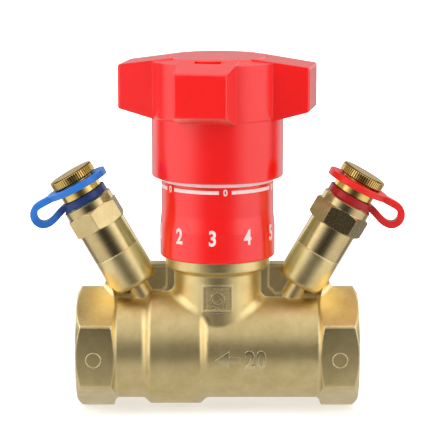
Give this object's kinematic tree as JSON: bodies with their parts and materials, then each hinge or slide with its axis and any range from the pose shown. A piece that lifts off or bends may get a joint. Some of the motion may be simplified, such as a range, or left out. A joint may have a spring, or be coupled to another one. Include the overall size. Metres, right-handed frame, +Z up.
{
  "type": "circuit balancing valve",
  "caption": "Straight brass balancing valve with hexagon pipe ends, a rising red cross handwheel over a number sleeve, and two leaning test points with strapped caps.",
  "frame": {"origin": "on the stem axis, at the level of the lowest edge of the body's hexagon ends", "axes": "+Z up along the stem, +X along the pipe from the outlet to the inlet, -Y the front with the square pad"},
  "size_m": [0.1112, 0.0584, 0.1057],
  "materials": {
    "casting_brass": "satin shot-blasted",
    "turned_brass": "polished",
    "machined_brass": "machined",
    "red_plastic": "gloss",
    "blue_plastic": "satin",
    "red_strap_plastic": "satin",
    "seal_rubber": "matte",
    "steel": "bright"
  },
  "bodies": {
    "valve": {"valve_body": "casting_brass", "bonnet": "machined_brass", "bonnet_oring": "seal_rubber", "stem_oring_lower": "seal_rubber", "stem_oring_upper": "seal_rubber", "gland_ring": "machined_brass", "gland_nut": "machined_brass", "number_sleeve": "red_plastic", "sleeve_clip": "steel", "inlet_test_point": "turned_brass", "inlet_test_oring": "seal_rubber", "inlet_test_core": "seal_rubber", "inlet_core_bush": "machined_brass", "outlet_test_point": "turned_brass", "outlet_test_oring": "seal_rubber", "outlet_test_core": "seal_rubber", "outlet_core_bush": "machined_brass"},
    "plug_group": {"valve_plug": "machined_brass", "plug_clip": "steel", "plug_seal": "seal_rubber", "regulating_cone": "machined_brass", "plug_nut": "machined_brass"},
    "wheel_group": {"spindle": "machined_brass", "handwheel": "red_plastic", "handwheel_disc": "red_plastic", "screw_washer": "steel", "handwheel_screw": "steel"},
    "red_strap_group": {"red_strap": "red_strap_plastic"},
    "red_cap_group": {"red_cap": "turned_brass", "red_cap_gasket": "seal_rubber"},
    "blue_strap_group": {"blue_strap": "blue_plastic"},
    "blue_cap_group": {"blue_cap": "turned_brass", "blue_cap_gasket": "seal_rubber"}
  },
  "joints": [
    {"name": "plug_lift", "type": "slide", "parent": "valve", "child": "plug_group", "axis": [0, 0, 1], "range_m": [0, 0.008]},
    {"name": "handwheel_turn", "type": "hinge", "parent": "plug_group", "child": "wheel_group", "pos_m": [0, 0, 0.08826], "axis": [0, 0, 1], "range_deg": [0, 1440]},
    {"name": "red_cap_lift", "type": "slide", "parent": "valve", "child": "red_strap_group", "axis": [0.5, 0, 0.866], "range_m": [0, 0.004], "deforming": ["red_strap"]},
    {"name": "red_cap_turn", "type": "hinge", "parent": "red_strap_group", "child": "red_cap_group", "pos_m": [0.04006, 0, 0.06455], "axis": [0.5, 0, 0.866], "range_deg": [0, 1440]},
    {"name": "blue_cap_lift", "type": "slide", "parent": "valve", "child": "blue_strap_group", "axis": [-0.5, 0, 0.866], "range_m": [0, 0.004], "deforming": ["blue_strap"]},
    {"name": "blue_cap_turn", "type": "hinge", "parent": "blue_strap_group", "child": "blue_cap_group", "pos_m": [-0.04006, 0, 0.06455], "axis": [-0.5, 0, 0.866], "range_deg": [0, 1440]}
  ],
  "couplings": [
    {"joint": "plug_lift", "follows": "handwheel_turn", "m_per_rad": 0.00031831},
    {"joint": "red_cap_lift", "follows": "red_cap_turn", "m_per_rad": 0.00015915},
    {"joint": "blue_cap_lift", "follows": "blue_cap_turn", "m_per_rad": 0.00015915}
  ]
}
